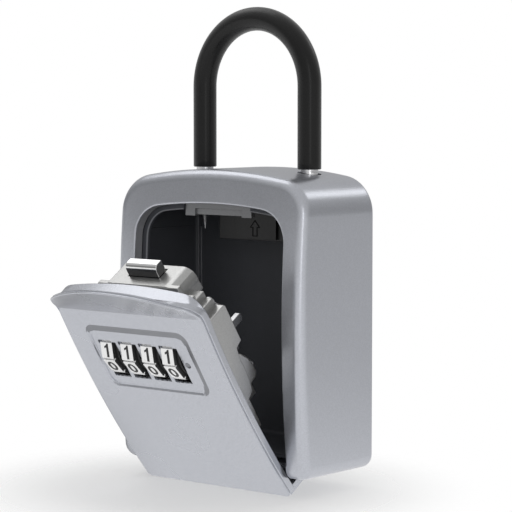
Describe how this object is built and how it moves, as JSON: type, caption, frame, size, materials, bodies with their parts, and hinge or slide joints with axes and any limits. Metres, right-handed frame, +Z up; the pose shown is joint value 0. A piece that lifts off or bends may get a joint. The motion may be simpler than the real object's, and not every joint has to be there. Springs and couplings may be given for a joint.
{
  "type": "combination key safe",
  "caption": "Arched metal key safe with a drop-down combination door, a dark key compartment and a sleeved removable shackle.",
  "frame": {"origin": "centre of the flat back face of the case", "axes": "+Y out of the back towards the wall, +Z up along the shackle, +X to the right seen from the front; the front faces -Y"},
  "size_m": [0.0972, 0.1095, 0.1923],
  "materials": {
    "painted_case": "satin silver-grey paint",
    "painted_door": "satin silver-grey paint",
    "liner_plastic": "charcoal moulded plastic",
    "black_plastic": "black moulded plastic",
    "cast_metal": "satin die-cast",
    "bolt_chrome": "bright plated",
    "wheel_metal": "satin with dark digits",
    "shackle_steel": "bright",
    "vinyl_sleeve": "satin black cover",
    "screw_steel": "zinc plated",
    "spring_steel": "spring temper"
  },
  "bodies": {
    "case": {"case_shell": "painted_case", "back_plate": "painted_case", "inner_liner": "liner_plastic", "liner_screw_bottom_left": "screw_steel", "liner_screw_bottom_right": "screw_steel", "liner_screw_top_left": "screw_steel", "liner_screw_top_right": "screw_steel", "latch_keeper": "cast_metal", "keeper_screw_left": "screw_steel", "keeper_screw_right": "screw_steel", "hinge_pin": "screw_steel", "release_housing": "black_plastic", "shackle_bush_left": "black_plastic", "shackle_bush_right": "black_plastic"},
    "door": {"door_panel": "painted_door", "lock_housing": "cast_metal", "housing_screw_top_left": "screw_steel", "housing_screw_bottom_left": "screw_steel", "housing_screw_bottom_right": "screw_steel", "housing_screw_top_right": "screw_steel", "wheel_shaft": "screw_steel", "shaft_clip": "screw_steel", "detent_comb": "spring_steel", "bolt_spring": "spring_steel"},
    "bolt": {"latch_bolt": "bolt_chrome"},
    "lever": {"change_lever": "screw_steel"},
    "slider": {"release_slider": "black_plastic"},
    "catch": {"shackle_catch": "screw_steel"},
    "shackle": {"shackle_bar": "shackle_steel", "shackle_sleeve": "vinyl_sleeve"},
    "wheel_1": {"number_wheel_1": "wheel_metal", "code_sleeve_1": "black_plastic"},
    "wheel_2": {"number_wheel_2": "wheel_metal", "code_sleeve_2": "black_plastic"},
    "wheel_3": {"number_wheel_3": "wheel_metal", "code_sleeve_3": "black_plastic"},
    "wheel_4": {"number_wheel_4": "wheel_metal", "code_sleeve_4": "black_plastic"}
  },
  "joints": [
    {"name": "door_hinge", "type": "hinge", "parent": "case", "child": "door", "pos_m": [0, -0.0289, -0.0572], "axis": [1, 0, 0], "range_deg": [-33.9, 56.1]},
    {"name": "bolt_slide", "type": "slide", "parent": "door", "child": "bolt", "axis": [0, -0.5577, 0.83], "range_m": [-0.002, 0.003]},
    {"name": "lever_slide", "type": "slide", "parent": "door", "child": "lever", "axis": [0, -0.5577, 0.83], "range_m": [0, 0.005]},
    {"name": "shackle_slide", "type": "slide", "parent": "case", "child": "shackle", "axis": [0, 0, 1], "range_m": [0, 0.027]},
    {"name": "release_slide", "type": "slide", "parent": "case", "child": "slider", "axis": [0, 0, 1], "range_m": [-0.003, 0]},
    {"name": "catch_slide", "type": "slide", "parent": "case", "child": "catch", "axis": [1, 0, 0], "range_m": [0, 0.003]},
    {"name": "wheel_1_turn", "type": "hinge", "parent": "door", "child": "wheel_1", "pos_m": [0, -0.07152, -0.00777], "axis": [1, 0, 0], "continuous": true},
    {"name": "wheel_2_turn", "type": "hinge", "parent": "door", "child": "wheel_2", "pos_m": [0, -0.07152, -0.00777], "axis": [1, 0, 0], "continuous": true},
    {"name": "wheel_3_turn", "type": "hinge", "parent": "door", "child": "wheel_3", "pos_m": [0, -0.07152, -0.00777], "axis": [1, 0, 0], "continuous": true},
    {"name": "wheel_4_turn", "type": "hinge", "parent": "door", "child": "wheel_4", "pos_m": [0, -0.07152, -0.00777], "axis": [1, 0, 0], "continuous": true}
  ],
  "couplings": [
    {"joint": "catch_slide", "follows": "release_slide", "ratio": -1}
  ]
}
